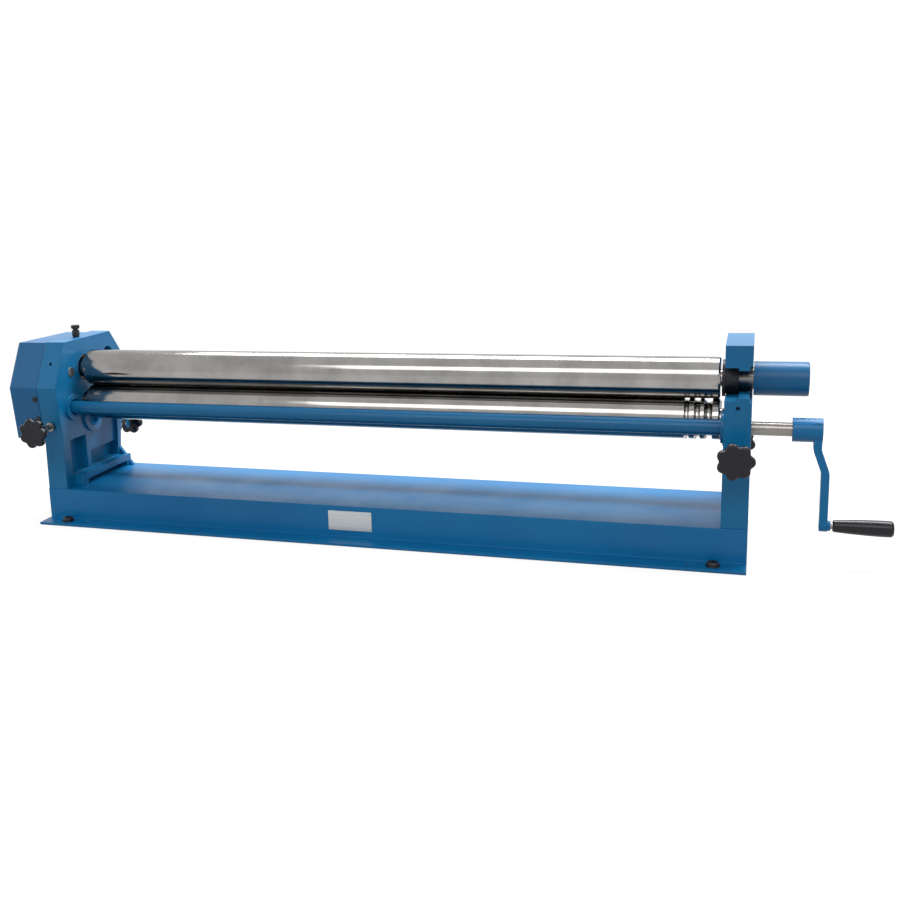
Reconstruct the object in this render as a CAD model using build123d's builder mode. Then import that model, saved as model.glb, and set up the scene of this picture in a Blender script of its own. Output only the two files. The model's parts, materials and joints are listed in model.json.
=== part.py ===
from build123d import *
from math import acos, asin, atan2, cos, degrees, pi, radians, sin, sqrt, tan
import os

# Slip roll machine: two driven front rolls, one rear bending roll, a gear head on the left
# and a hand crank on the right.
# Frame: X along the rolls, crank end +X; front (infeed) side -Y; Z up from the bed's underside.

# ---- overall sizes -------------------------------------------------------------------
ROLL_LEN = 1300.0        # working length
ROLL_R = 37.5            # all three rolls
IN_X = 662.5             # inner faces of the end frames
FRAME_T = 45.0
OUT_X = IN_X + FRAME_T
BED_W = 240.0
BED_H = 67.0
BED_T = 5.0
FLANGE_W = 43.0
FRONT_Y = -118.0         # front face of the end frames
HEAD_TOP = 377.0         # left head
RIGHT_TOP = 388.0

# ---- axes ----------------------------------------------------------------------------
ROLL_Y = -8.0
LOW_Z = 238.3
ROLL_GAP = 0.4
UP_Z = LOW_Z + 2 * ROLL_R + ROLL_GAP
REAR_Y, REAR_Z = 90.0, 215.2
DRIVE_Y, DRIVE_Z = -69.0, 236.4
ROLL_X0 = -646.5
ROLL_X1 = ROLL_X0 + ROLL_LEN
MID_X = IN_X + FRAME_T / 2       # middle of an end frame's thickness

# ---- clearances ----------------------------------------------------------------------
RUN = 0.05               # radial, shafts that turn
SLIDE = 0.15             # flat sliding faces
POCKET = 34.0            # bearing pockets, from the outer faces

# ---- journals ------------------------------------------------------------------------
UP_NECK_R = 22.4
UP_END_R = 15.0
LOW_NECK_R = 20.0
REAR_NECK_R = 17.0
SHAFT_R = 12.1
TUBE_R = 14.0
PIVOT_X = -MID_X
BALL_R = 30.0
BALL_HALF = 15.0
SWING_TILT = 4.0         # the open seat rises this many degrees towards the front
SEAT_R = 28.0
CARRIER_R = 19.5
OUTER_SLOT = 23.5
RELIEF_R, RELIEF_T = 31.5, 4.6    # spot-faced path for the release sleeve

# ---- bearing blocks and wedges -------------------------------------------------------
FB_HALF_Y, FB_HALF_Z = 28.0, 25.0
LOW_DROP = 4.0
FW_SLOPE = 0.2
FW_TRAVEL = LOW_DROP / FW_SLOPE
FW_Y0, FW_Y1 = -38.0, 22.0
FW_Z0 = 189.0
F_SCREW_Z = 204.0
F_SCREW_R = 5.5
F_SCREW_TIP = -16.0
RB_HALF_Y = 23.0
RB_TOP = 241.0
REAR_LIFT = 38.0
RW_K = 274.0             # y + z of the rear wedge's 45 degree face at rest
RW_Y0, RW_Y1 = 29.0, 112.0
RW_T = 19.0              # rear wedge thickness
RW_Z0 = 137.0
BRACKET_Y, BRACKET_T = 161.0, 12.0    # rear screw brackets
COLLAR_T = 6.0           # thrust collars on the adjusting screws
THRUST_R = 9.5
R_SCREW_Z = 150.0
SCREW_R = 6.0
KNOB_R = 32.0
F_KNOB_Y = -185.0
R_KNOB_Y = 195.0

# ---- gears (spur, 20 degree involute, stub addendum) ------------------------------------
MODULE = 3.0
T_ROLL, T_IDLER, T_PINION = 25, 17, 16
ADDENDUM = 0.8 * MODULE
DEDENDUM = 1.0 * MODULE
BACKLASH = 0.3
PRESSURE = radians(20)
GEAR_W = 21.0
GA_X1 = -716.0           # roll gears' plane, right-hand face
GB_X1 = GA_X1 - GEAR_W - 2.0   # idler and pinion plane
GEAR_X0 = GB_X1 - GEAR_W

COVER_T = 4.0
COVER_X0 = -776.5
SEAM = 0.8               # gap between the cover's rim and the head

LEFT = [(FRONT_Y, BED_H), (-116, 174), (-128, 286.4), (-78.8, HEAD_TOP), (100.7, HEAD_TOP),
        (158, 306), (146, 222), (124, 176), (114, 144), (101, BED_H)]
RIGHT = [(FRONT_Y, BED_H), (FRONT_Y, RIGHT_TOP), (36.4, RIGHT_TOP), (142, 300),
         (146, 222), (124, 176), (114, 144), (101, BED_H)]
COVER = [(-116, 175), (-128, 286.4), (-78.8, HEAD_TOP - 1), (98, HEAD_TOP - 3),
         (155, 306), (143, 222), (122, 175)]
KEEPER = [(-75, 178), (-75, 217), (-64, 220), (-46, 229), (-46, 266.3), (24, 266.3), (60, 288),
          (124, 288), (124, 206), (118, 172), (108, 126), (20, 126), (20, 178)]
COVER_SCREWS = [(-72, 364), (92, 362), (-104, 189), (134, 250), (140, 300), (-113, 286)]
KEEPER_T = 4.0
KEEPER_HOLES = [(-61, 183), (-41.4, 250), (50, 268), (90, 282.8), (118, 215), (25, 170), (70, 132.4)]
CAP_R, CAP_T = 47.0, 7.0
FOOT_BOLTS = [(-95, 0), (85, 0)]

MINX = (Align.CENTER, Align.CENTER, Align.MIN)


def yz(x):
    return Plane(origin=(x, 0, 0), x_dir=(0, 1, 0), z_dir=(1, 0, 0))


def xz(y):
    return Plane(origin=(0, y, 0), x_dir=(1, 0, 0), z_dir=(0, -1, 0))


def rod(x0, x1, y, z, r, mode=Mode.ADD):
    """Cylinder along X between x0 and x1."""
    with Locations(Plane(origin=(x0, y, z), x_dir=(0, 1, 0), z_dir=(1, 0, 0))):
        Cylinder(r, x1 - x0, align=MINX, mode=mode)


def rod_y(y0, y1, x, z, r, mode=Mode.ADD):
    with Locations(Plane(origin=(x, y0, z), x_dir=(1, 0, 0), z_dir=(0, 1, 0))):
        Cylinder(r, y1 - y0, align=MINX, mode=mode)


def rod_z(z0, z1, x, y, r, mode=Mode.ADD):
    with Locations((x, y, z0)):
        Cylinder(r, z1 - z0, align=MINX, mode=mode)


def block(x0, x1, y0, y1, z0, z1, mode=Mode.ADD):
    with Locations(((x0 + x1) / 2, (y0 + y1) / 2, (z0 + z1) / 2)):
        Box(x1 - x0, y1 - y0, z1 - z0, mode=mode)


def gear_points(teeth, phase):
    """Closed outline of an involute spur gear, one tooth centred on angle phase."""
    rp = MODULE * teeth / 2
    rb = rp * cos(PRESSURE)
    ra, rr = rp + ADDENDUM, rp - DEDENDUM
    half_p = (pi * MODULE / 2 - BACKLASH) / (2 * rp)
    inv_p = tan(PRESSURE) - PRESSURE

    def half(r):
        a = acos(min(1.0, rb / r))
        return half_p + inv_p - (tan(a) - a)

    low = max(rr, rb)
    radii = [rr] if rr < rb else []
    radii += [low + (ra - low) * k / 4 for k in range(5)]
    pts = []
    for i in range(teeth):
        c = phase + 2 * pi * i / teeth
        pts += [(r * cos(c - half(max(r, rb))), r * sin(c - half(max(r, rb)))) for r in radii]
        pts += [(r * cos(c + half(max(r, rb))), r * sin(c + half(max(r, rb))))
                for r in reversed(radii)]
    return pts


# ---- gear train layout ---------------------------------------------------------------
UI = MODULE * (T_ROLL + T_IDLER) / 2
ID = MODULE * (T_IDLER + T_PINION) / 2
du, dz = DRIVE_Y - ROLL_Y, DRIVE_Z - UP_Z
UD = sqrt(du * du + dz * dz)
along = (UI ** 2 - ID ** 2 + UD ** 2) / (2 * UD)
side = sqrt(UI ** 2 - along ** 2)
IDLER_Y = ROLL_Y + (du * along + dz * side) / UD
IDLER_Z = UP_Z + (dz * along - du * side) / UD
PH_UP = -pi / 2
PH_LOW = pi / 2 + pi / T_ROLL
a_ui = atan2(IDLER_Z - UP_Z, IDLER_Y - ROLL_Y)
PH_IDLER = a_ui + pi - (PH_UP - a_ui) * T_ROLL / T_IDLER + pi / T_IDLER
a_id = atan2(DRIVE_Z - IDLER_Z, DRIVE_Y - IDLER_Y)
PH_PINION = a_id + pi - (PH_IDLER - a_id) * T_IDLER / T_PINION + pi / T_PINION


SEAM_SCREWS = [262, 219]


def cover_y(z):
    """Front surface of the gear cover at height z."""
    (y0, z0), (y1, z1) = COVER[0], COVER[1]
    return y0 + (y1 - y0) * (z - z0) / (z1 - z0)


def front_under(y):
    """Height of the front block's sloping underside."""
    return LOW_Z - FB_HALF_Z - FW_SLOPE * (y - ROLL_Y)


FBY0, FBY1 = ROLL_Y - FB_HALF_Y, ROLL_Y + FB_HALF_Y
RBY0, RBY1 = REAR_Y - RB_HALF_Y, REAR_Y + RB_HALF_Y
FRONT_POCKET = [(FW_Y0 - FW_TRAVEL - 0.5, FW_Z0 - 0.1), (FW_Y1 + 0.3, FW_Z0 - 0.1),
                (FW_Y1 + 0.3, 223), (FBY1 + SLIDE, 223), (FBY1 + SLIDE, LOW_Z + FB_HALF_Z + 0.2),
                (FBY0 - SLIDE, LOW_Z + FB_HALF_Z + 0.2), (FBY0 - SLIDE, 223),
                (FW_Y0 - FW_TRAVEL - 0.5, 223), (FW_Y0 - FW_TRAVEL - 0.5, F_SCREW_Z + 11),
                (FW_Y0 - FW_TRAVEL - 7, F_SCREW_Z + 11), (FW_Y0 - FW_TRAVEL - 7, F_SCREW_Z - 11),
                (FW_Y0 - FW_TRAVEL - 0.5, F_SCREW_Z - 11)]
REAR_POCKET = [(RW_Y0 - 0.5, RW_Z0 - 0.1), (RBY1 + SLIDE, RW_Z0 - 0.1),
               (RBY1 + SLIDE, RB_TOP + REAR_LIFT + 0.5), (RBY0 - SLIDE, RB_TOP + REAR_LIFT + 0.5),
               (RBY0 - SLIDE, RW_K - RW_Y0 + 1), (RW_Y0 - 0.5, RW_K - RW_Y0 + 1)]
KX = OUT_X - KEEPER_T

os.makedirs("parts", exist_ok=True)


def save(part, name):
    part.label = name
    export_step(part, "parts/" + name + ".step")


# ======================================================================================
# Bed: folded sheet channel with outward flanges
# ======================================================================================
w, f = BED_W / 2, BED_W / 2 + FLANGE_W
with BuildPart() as bed:
    with BuildSketch(yz(-OUT_X)):
        Polygon((-f, 0), (-w + BED_T, 0), (-w + BED_T, BED_H - BED_T), (w - BED_T, BED_H - BED_T),
                (w - BED_T, 0), (f, 0), (f, BED_T), (w, BED_T), (w, BED_H), (-w, BED_H),
                (-w, BED_T), (-f, BED_T), align=None)
    extrude(amount=2 * OUT_X)
    for sx in (-1, 1):
        for sy in (-1, 1):
            rod_z(-1, BED_T + 1, sx * 652, sy * 141, SCREW_R, Mode.SUBTRACT)
            rod_z(-1, BED_T + 1, sx * 610, sy * 141, 6.5, Mode.SUBTRACT)
        for y, _ in FOOT_BOLTS:
            rod_z(BED_H - BED_T - 1, BED_H + 1, sx * MID_X, y, SCREW_R, Mode.SUBTRACT)
save(bed.part, "bed_channel")

with BuildPart() as base_bolts:
    for sx in (-1, 1):
        for sy in (-1, 1):
            rod_z(0, BED_T, sx * 652, sy * 141, SCREW_R)
            rod_z(BED_T, BED_T + 2, sx * 652, sy * 141, 12.5)
            rod_z(BED_T + 2, BED_T + 9, sx * 652, sy * 141, 10.5)
    fillet(base_bolts.edges().filter_by(GeomType.CIRCLE).group_by(Axis.Z)[-1], 5)
save(base_bolts.part, "base_bolts")

with BuildPart() as frame_bolts:
    for sx in (-1, 1):
        for y, _ in FOOT_BOLTS:
            rod_z(BED_H - BED_T, BED_H + 20, sx * MID_X, y, SCREW_R)
            with BuildSketch(Plane.XY.offset(BED_H - BED_T - 8)):
                with Locations((sx * MID_X, y)):
                    RegularPolygon(10.5, 6)
            extrude(amount=8)
save(frame_bolts.part, "frame_bolts")

with BuildPart() as data_plate:
    block(-68, 21, -w - 0.8, -w, 18, 57)
    for x in (-63, 16):
        for z in (23, 52):
            rod_y(-w - 1.8, -w - 0.8, x, z, 1.8)
save(data_plate.part, "data_plate")

# ======================================================================================
# End frames
# ======================================================================================
with BuildPart() as left_frame:
    with BuildSketch(yz(-OUT_X)):
        Polygon(*LEFT, align=None)
    extrude(amount=FRAME_T)
    # relieved foot towards the rolls with its gusset, ring round the drive shaft, lower boss
    block(-IN_X, -640, -86, 110, BED_H + 12, BED_H + 25)
    block(-IN_X, -640, -86, -68, BED_H, BED_H + 13)
    block(-IN_X, -640, 92, 110, BED_H, BED_H + 13)
    with BuildSketch(xz(110)):
        Polygon((-IN_X - 1, BED_H), (-630, BED_H), (-IN_X - 1, 110), align=None)
    extrude(amount=9)
    rod(-IN_X, -IN_X + 5, 1, 205, 35)
    rod(-IN_X - 6, -IN_X + 6, 1, 205, 22, Mode.SUBTRACT)
    rod(-IN_X, -IN_X + 5.5, DRIVE_Y, DRIVE_Z, 28)
    rod(-IN_X - 1, -IN_X + 6, DRIVE_Y, DRIVE_Z, 17, Mode.SUBTRACT)
    rod(-OUT_X - 1, -IN_X, DRIVE_Y, DRIVE_Z, SHAFT_R + RUN, Mode.SUBTRACT)
    # recessed web below the head
    with BuildSketch(yz(-IN_X - 20)):
        Polygon((-92, 94), (-31, 94), (-31, 168), (-92, 168), align=None)
        Polygon((-17, 94), (93, 94), (97, 126), (-17, 126), align=None)
    extrude(amount=20, mode=Mode.SUBTRACT)
    with BuildSketch(yz(-IN_X - 7)):
        Polygon((-17, 120), (96, 120), (100, 150), (100, 190), (40, 190), (30, 168), (-17, 168),
                align=None)
    extrude(amount=7, mode=Mode.SUBTRACT)
    # bearing pockets
    with BuildSketch(yz(-OUT_X)):
        Polygon(*FRONT_POCKET, align=None)
        Polygon(*REAR_POCKET, align=None)
    extrude(amount=POCKET, mode=Mode.SUBTRACT)
    with BuildSketch(yz(-IN_X - FRAME_T + POCKET - 1)):
        with Locations((ROLL_Y, LOW_Z - LOW_DROP / 2)):
            SlotOverall(2 * LOW_NECK_R + 4 + LOW_DROP, 2 * LOW_NECK_R + 4, rotation=90)
        with Locations((REAR_Y, REAR_Z + REAR_LIFT / 2)):
            SlotOverall(2 * REAR_NECK_R + 4 + REAR_LIFT, 2 * REAR_NECK_R + 4, rotation=90)
    extrude(amount=FRAME_T - POCKET + 8, mode=Mode.SUBTRACT)
    # screw passages and the tips' sockets
    rod_y(FRONT_Y - 10, FW_Y0 - FW_TRAVEL, -MID_X, F_SCREW_Z, F_SCREW_R + RUN, Mode.SUBTRACT)
    block(-MID_X - RW_T / 2 - 0.5, -MID_X + RW_T / 2 + 0.5, RBY1 - 1, 200, RW_Z0 - 0.1, 201,
          Mode.SUBTRACT)
    block(-OUT_X, -OUT_X + 11, RBY1 + 2, BRACKET_Y + BRACKET_T, 132, 205)
    block(-OUT_X, -MID_X + 9.5, BRACKET_Y, BRACKET_Y + BRACKET_T, 139, 161)
    with BuildSketch(yz(-OUT_X)):
        Polygon(*KEEPER, align=None)
    extrude(amount=KEEPER_T, mode=Mode.SUBTRACT)
    rod_y(BRACKET_Y - 1, BRACKET_Y + BRACKET_T + 1, -MID_X, R_SCREW_Z, SCREW_R + RUN, Mode.SUBTRACT)
    # seat of the upper roll's spherical bearing
    rod(-OUT_X - 1, PIVOT_X + BALL_HALF + 0.5, ROLL_Y, UP_Z, 38, Mode.SUBTRACT)
    rod(PIVOT_X, -IN_X + 1, ROLL_Y, UP_Z, 27, Mode.SUBTRACT)
    # idler stud, plugs, lubrication points, foot bolts
    rod(-OUT_X - 1, -OUT_X + 30, IDLER_Y, IDLER_Z, 9, Mode.SUBTRACT)
    rod(-IN_X - 12, -IN_X + 1, -63.5, 311.3, 10.5, Mode.SUBTRACT)
    rod(-IN_X - 20, -IN_X + 1, 86, 325, 20, Mode.SUBTRACT)
    rod_z(HEAD_TOP - 12, HEAD_TOP + 1, -MID_X, 2, 5, Mode.SUBTRACT)
    with Locations(Plane(origin=(-MID_X, -101.5, 334), x_dir=(1, 0, 0), z_dir=(0, 90.6, -47.8))):
        Cylinder(3.5, 24, align=(Align.CENTER, Align.CENTER, Align.CENTER), mode=Mode.SUBTRACT)
    for y, _ in FOOT_BOLTS:
        rod_z(BED_H - 1, BED_H + 22, -MID_X, y, SCREW_R, Mode.SUBTRACT)
    for y, z in KEEPER_HOLES:
        rod(-OUT_X - 1, -OUT_X + 12, y, z, 2.5, Mode.SUBTRACT)
    for a in (45, 135, 225, 315):
        rod(-OUT_X - 1, -OUT_X + 10, ROLL_Y + 42.5 * cos(radians(a)), UP_Z + 42.5 * sin(radians(a)),
            2, Mode.SUBTRACT)
    # lugs for the cover's front screws
    for z in SEAM_SCREWS:
        block(-OUT_X - 16, -OUT_X + 1, cover_y(z) + 5, cover_y(z) + 16, z - 7, z + 7)
        rod_y(cover_y(z), cover_y(z) + 14, -OUT_X - 8.5, z, 3, Mode.SUBTRACT)
save(left_frame.part, "left_frame")

tilt = radians(SWING_TILT)


def slot_points(half, reach=150):
    """Open seat: a parallel slot from the roll axis forwards, rising by SWING_TILT."""
    sy, sz = -cos(tilt), sin(tilt)
    ny, nz = sin(tilt), cos(tilt)
    c = (ROLL_Y, UP_Z)
    return [(c[0] + ny * half, c[1] + nz * half), (c[0] - ny * half, c[1] - nz * half),
            (c[0] - ny * half + sy * reach, c[1] - nz * half + sz * reach),
            (c[0] + ny * half + sy * reach, c[1] + nz * half + sz * reach)]


with BuildPart() as right_frame:
    with BuildSketch(yz(IN_X)):
        Polygon(*RIGHT, align=None)
    extrude(amount=FRAME_T)
    rod(IN_X - 5.5, IN_X, DRIVE_Y, DRIVE_Z, 28)
    rod(IN_X - 6, IN_X + 1, DRIVE_Y, DRIVE_Z, 17, Mode.SUBTRACT)
    rod(IN_X, OUT_X + 1, DRIVE_Y, DRIVE_Z, SHAFT_R + RUN, Mode.SUBTRACT)
    with BuildSketch(yz(OUT_X - POCKET)):
        Polygon(*FRONT_POCKET, align=None)
        Polygon(*REAR_POCKET, align=None)
    extrude(amount=POCKET, mode=Mode.SUBTRACT)
    with BuildSketch(yz(OUT_X - RELIEF_T)):
        Polygon(*slot_points(RELIEF_R), align=None)
        with Locations((ROLL_Y, UP_Z)):
            Circle(RELIEF_R)
    extrude(amount=RELIEF_T + 1, mode=Mode.SUBTRACT)
    with BuildSketch(yz(IN_X - 1)):
        with Locations((ROLL_Y, LOW_Z - LOW_DROP / 2)):
            SlotOverall(2 * LOW_NECK_R + 4 + LOW_DROP, 2 * LOW_NECK_R + 4, rotation=90)
        with Locations((REAR_Y, REAR_Z + REAR_LIFT / 2)):
            SlotOverall(2 * REAR_NECK_R + 4 + REAR_LIFT, 2 * REAR_NECK_R + 4, rotation=90)
    extrude(amount=FRAME_T - POCKET + 2, mode=Mode.SUBTRACT)
    rod_y(FRONT_Y - 10, FW_Y0 - FW_TRAVEL, MID_X, F_SCREW_Z, F_SCREW_R + RUN, Mode.SUBTRACT)
    block(MID_X - RW_T / 2 - 0.5, MID_X + RW_T / 2 + 0.5, RBY1 - 1, 200, RW_Z0 - 0.1, 201,
          Mode.SUBTRACT)
    block(OUT_X - 11, OUT_X, RBY1 + 2, BRACKET_Y + BRACKET_T, 132, 205)
    block(MID_X - 9.5, OUT_X, BRACKET_Y, BRACKET_Y + BRACKET_T, 139, 161)
    with BuildSketch(yz(KX)):
        Polygon(*KEEPER, align=None)
    extrude(amount=KEEPER_T, mode=Mode.SUBTRACT)
    rod_y(BRACKET_Y - 1, BRACKET_Y + BRACKET_T + 1, MID_X, R_SCREW_Z, SCREW_R + RUN, Mode.SUBTRACT)
    # the upper roll's open seat, wider in the inner half
    with BuildSketch(yz(IN_X - 1)):
        Polygon(*slot_points(SEAT_R + 0.1), align=None)
        with Locations((ROLL_Y, UP_Z)):
            Circle(SEAT_R + 0.1)
    extrude(amount=FRAME_T / 2 + 1, mode=Mode.SUBTRACT)
    with BuildSketch(yz(IN_X + FRAME_T / 2 - 1)):
        Polygon(*slot_points(OUTER_SLOT), align=None)
        with Locations((ROLL_Y, UP_Z)):
            Circle(OUTER_SLOT)
    extrude(amount=FRAME_T / 2 + 2, mode=Mode.SUBTRACT)
    rod_y(FRONT_Y - 1, FRONT_Y + 12, MID_X, 280.4, 3.5, Mode.SUBTRACT)
    for y, _ in FOOT_BOLTS:
        rod_z(BED_H - 1, BED_H + 22, MID_X, y, SCREW_R, Mode.SUBTRACT)
    for y, z in KEEPER_HOLES:
        rod(OUT_X - 12, OUT_X + 1, y, z, 2.5, Mode.SUBTRACT)
save(right_frame.part, "right_frame")

# round plug in the left head's inner face
with BuildPart() as head_plugs:
    rod(-IN_X - 12, -IN_X + 1.5, -63.5, 311.3, 10.5)
save(head_plugs.part, "head_plug")

# grease cup on the head
with BuildPart() as cup_body:
    rod_z(HEAD_TOP - 12, HEAD_TOP, -MID_X, 2, 5)
    rod_z(HEAD_TOP, HEAD_TOP + 3, -MID_X, 2, 7)
    rod_z(HEAD_TOP + 3, HEAD_TOP + 15, -MID_X, 2, 8)
    rod_z(HEAD_TOP + 15, HEAD_TOP + 22, -MID_X, 2, 5)
save(cup_body.part, "grease_cup_body")

with BuildPart() as cup_cap:
    rod_z(HEAD_TOP + 19, HEAD_TOP + 26, -MID_X, 2, 9)
    rod_z(HEAD_TOP + 17, HEAD_TOP + 19, -MID_X, 2, 6.5)
    rod_z(HEAD_TOP + 16, HEAD_TOP + 22.3, -MID_X, 2, 5 + RUN, Mode.SUBTRACT)
    with BuildSketch(Plane.XY.offset(HEAD_TOP + 18)):
        with Locations((-MID_X, 2)):
            with PolarLocations(9.25, 18):
                Circle(0.9)
    extrude(amount=9, mode=Mode.SUBTRACT)
save(cup_cap.part, "grease_cup_cap")

# ======================================================================================
# Gear cover
# ======================================================================================
with BuildPart() as gear_cover:
    with BuildSketch(yz(COVER_X0)):
        Polygon(*COVER, align=None)
    extrude(amount=-OUT_X - COVER_X0)
    fillet(gear_cover.faces().sort_by(Axis.X)[0].edges(), 4)
    with BuildSketch(yz(COVER_X0 + COVER_T)):
        Polygon(*COVER, align=None)
        offset(amount=-COVER_T, mode=Mode.REPLACE)
    extrude(amount=-OUT_X - COVER_X0, mode=Mode.SUBTRACT)
    # seam gap at the rim, then screw bosses inside the corners
    block(-OUT_X - SEAM, -OUT_X + 1, -150, 200, 150, 400, Mode.SUBTRACT)
    for y, z in COVER_SCREWS:
        rod(COVER_X0 + 2, -OUT_X, y, z, 7)
        rod(COVER_X0 - 1, -OUT_X + 1, y, z, 3, Mode.SUBTRACT)
    for z in SEAM_SCREWS:
        rod_y(cover_y(z) - 5, cover_y(z) + 0.6, -OUT_X - 8.5, z, 6.2, Mode.SUBTRACT)
        rod_y(cover_y(z) - 5, cover_y(z) + 8, -OUT_X - 8.5, z, 3, Mode.SUBTRACT)
save(gear_cover.part, "gear_cover")

with BuildPart() as cover_screws:
    for y, z in COVER_SCREWS:
        rod(COVER_X0, -OUT_X, y, z, 3)
        rod(COVER_X0 - 3.5, COVER_X0, y, z, 5.5)
    fillet(cover_screws.edges().filter_by(GeomType.CIRCLE).group_by(Axis.X)[0], 2)
    for z in SEAM_SCREWS:
        rod_y(cover_y(z) - 3, cover_y(z) + 0.6, -OUT_X - 8.5, z, 5.5)
        rod_y(cover_y(z) + 0.6, cover_y(z) + 13, -OUT_X - 8.5, z, 3)
save(cover_screws.part, "cover_screws")

# ======================================================================================
# Keeper plates over the bearing pockets
# ======================================================================================
with BuildPart() as keeper_left:
    with BuildSketch(yz(-OUT_X)):
        Polygon(*KEEPER, align=None)
        with Locations((ROLL_Y, LOW_Z - LOW_DROP / 2)):
            SlotOverall(2 * LOW_NECK_R + 4 + LOW_DROP, 2 * LOW_NECK_R + 4, rotation=90,
                        mode=Mode.SUBTRACT)
    extrude(amount=KEEPER_T)
    for y, z in KEEPER_HOLES:
        rod(-OUT_X - 1, -KX + 1, y, z, 2.5, Mode.SUBTRACT)
        rod(-OUT_X - 1, -OUT_X + 2.5, y, z, 4.5, Mode.SUBTRACT)
save(keeper_left.part, "keeper_left")

with BuildPart() as keeper_right:
    with BuildSketch(yz(KX)):
        Polygon(*KEEPER, align=None)
    extrude(amount=KEEPER_T)
    for y, z in KEEPER_HOLES:
        rod(KX - 1, OUT_X + 1, y, z, 2.5, Mode.SUBTRACT)
        rod(OUT_X - 2.5, OUT_X + 1, y, z, 4.5, Mode.SUBTRACT)
save(keeper_right.part, "keeper_right")

with BuildPart() as head_screws:
    for y, z in KEEPER_HOLES:
        rod(-OUT_X + 2.5, -OUT_X + 12, y, z, 2.5)
        rod(-OUT_X + 0.1, -OUT_X + 2.5, y, z, 4.5)
        rod(OUT_X - 12, OUT_X - 2.5, y, z, 2.5)
        rod(OUT_X - 2.5, OUT_X - 0.1, y, z, 4.5)
    for a in (45, 135, 225, 315):
        y, z = ROLL_Y + 42.5 * cos(radians(a)), UP_Z + 42.5 * sin(radians(a))
        rod(-OUT_X - CAP_T + 3.5, -OUT_X + 10, y, z, 2)
        rod(-OUT_X - CAP_T + 0.5, -OUT_X - CAP_T + 3.5, y, z, 3.5)
save(head_screws.part, "head_screws")

# ======================================================================================
# Upper roll: spherical bearing left, swing-out seat right
# ======================================================================================
with BuildPart() as seat_ring:
    with BuildSketch(xz(ROLL_Y)):
        with Locations((PIVOT_X, UP_Z + 19)):
            Rectangle(2 * BALL_HALF, 38)
        with Locations((PIVOT_X, UP_Z)):
            Circle(BALL_R + RUN, mode=Mode.SUBTRACT)
    revolve(axis=Axis((0, ROLL_Y, UP_Z), (1, 0, 0)))
save(seat_ring.part, "seat_ring")

with BuildPart() as ball_bush:
    with BuildSketch(xz(ROLL_Y)):
        with Locations((PIVOT_X, UP_Z)):
            Circle(BALL_R)
        with Locations((PIVOT_X, UP_Z + UP_NECK_R + RUN + 10)):
            Rectangle(2 * BALL_HALF, 20, mode=Mode.INTERSECT)
    revolve(axis=Axis((0, ROLL_Y, UP_Z), (1, 0, 0)))
save(ball_bush.part, "ball_bush")

STUB_R = 14.0
with BuildPart() as bearing_cap:
    rod(-OUT_X - CAP_T, -OUT_X, ROLL_Y, UP_Z, CAP_R)
    rod(-OUT_X, PIVOT_X - BALL_HALF - 0.5, ROLL_Y, UP_Z, 37.9)
    rod(-OUT_X + 2.5, PIVOT_X - BALL_HALF, ROLL_Y, UP_Z, 31.5, Mode.SUBTRACT)
    rod(-OUT_X - CAP_T - 1, -OUT_X + 20, ROLL_Y, UP_Z, STUB_R + RUN, Mode.SUBTRACT)
    for a in (45, 135, 225, 315):
        y, z = ROLL_Y + 42.5 * cos(radians(a)), UP_Z + 42.5 * sin(radians(a))
        rod(-OUT_X - CAP_T - 1, -OUT_X + 1, y, z, 2, Mode.SUBTRACT)
        rod(-OUT_X - CAP_T - 1, -OUT_X - CAP_T + 3.5, y, z, 3.5, Mode.SUBTRACT)
save(bearing_cap.part, "bearing_cap")

SOCKET_R = 12.0
PIN_R, PIN_HALF = 4.0, 17.0
with BuildPart() as drive_stub:
    rod(GEAR_X0 - 7, -OUT_X + 3.5, ROLL_Y, UP_Z, STUB_R)
    rod(-OUT_X + 3.5, PIVOT_X - 5, ROLL_Y, UP_Z, 9)
    with Locations((PIVOT_X, ROLL_Y, UP_Z)):
        Sphere(11)
    rod_z(UP_Z - 20, UP_Z + 20, PIVOT_X, ROLL_Y, PIN_R, Mode.SUBTRACT)
    block(GEAR_X0, GA_X1, ROLL_Y + STUB_R - 4, ROLL_Y + STUB_R + 1, UP_Z - 4, UP_Z + 4,
          Mode.SUBTRACT)
save(drive_stub.part, "upper_drive_stub")

with BuildPart() as cross_pin:
    rod_z(UP_Z - PIN_HALF, UP_Z + PIN_HALF, PIVOT_X, ROLL_Y, PIN_R)
    fillet(cross_pin.edges().filter_by(GeomType.CIRCLE), 1)
save(cross_pin.part, "drive_cross_pin")

with BuildPart() as upper_gear:
    with BuildSketch(yz(GEAR_X0)):
        with Locations((ROLL_Y, UP_Z)):
            Polygon(*gear_points(T_ROLL, PH_UP), align=None)
            Circle(STUB_R, mode=Mode.SUBTRACT)
            with Locations((STUB_R - 0.5, 0)):
                Rectangle(7, 8, mode=Mode.SUBTRACT)
    extrude(amount=GA_X1 - GEAR_X0)
save(upper_gear.part, "upper_gear")

with BuildPart() as upper_key:
    block(GEAR_X0, GA_X1, ROLL_Y + STUB_R - 4, ROLL_Y + STUB_R + 3, UP_Z - 4, UP_Z + 4)
save(upper_key.part, "upper_gear_key")

with BuildPart() as upper_nut:
    with BuildSketch(yz(GEAR_X0 - 6)):
        with Locations((ROLL_Y, UP_Z)):
            RegularPolygon(21, 6)
            Circle(STUB_R, mode=Mode.SUBTRACT)
    extrude(amount=6)
save(upper_nut.part, "upper_gear_nut")

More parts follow.
